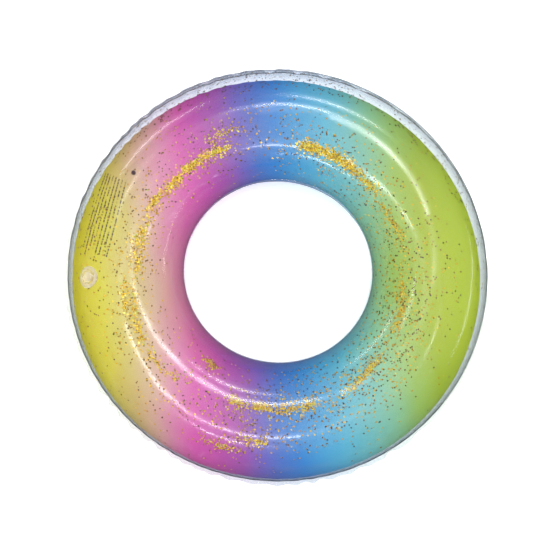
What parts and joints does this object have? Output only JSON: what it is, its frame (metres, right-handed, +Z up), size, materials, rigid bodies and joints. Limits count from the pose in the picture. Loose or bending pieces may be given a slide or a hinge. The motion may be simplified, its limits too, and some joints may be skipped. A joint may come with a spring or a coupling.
{
  "type": "inflatable pool float",
  "caption": "Inflatable swim ring of two welded PVC films, clear above and rainbow-printed below, with a push-in valve and loose gold glitter inside.",
  "frame": {"origin": "on the ground under the middle of the hole, with the printed sheet down", "axes": "+Z up through the hole, towards the clear sheet; -X towards the valve"},
  "size_m": [0.7, 0.7, 0.1878],
  "materials": {
    "clear_film": "calendered clear PVC film, glossy",
    "printed_film": "gravure-printed translucent PVC film with a rainbow gradient, glossy",
    "valve_pvc": "soft moulded translucent PVC",
    "gold_flake": "metallised polyester flakes"
  },
  "bodies": {
    "ring": {"front_sheet": "clear_film", "back_sheet": "printed_film", "valve_flange": "valve_pvc", "valve_skirt": "valve_pvc", "glitter_gathered": "gold_flake", "glitter_scattered": "gold_flake", "glitter_at_rim": "gold_flake"},
    "stem": {"valve_stem": "valve_pvc", "plug_tether": "valve_pvc"},
    "plug": {"valve_plug": "valve_pvc"},
    "flap": {"valve_flap": "valve_pvc"}
  },
  "joints": [
    {"name": "stem_pop_out", "type": "slide", "parent": "ring", "child": "stem", "axis": [-0.5846, -0.0614, 0.809], "range_m": [0, 0.022], "deforming": ["valve_skirt"]},
    {"name": "plug_pull", "type": "slide", "parent": "stem", "child": "plug", "axis": [-0.5846, -0.0614, 0.809], "range_m": [0, 0.009], "deforming": ["plug_tether"]},
    {"name": "flap_swing", "type": "hinge", "parent": "stem", "child": "flap", "pos_m": [-0.29587, -0.0311, 0.15405], "axis": [-0.1045, 0.9945, 0], "range_deg": [0, 60], "stiffness_Nm_per_rad": 0.0002}
  ]
}
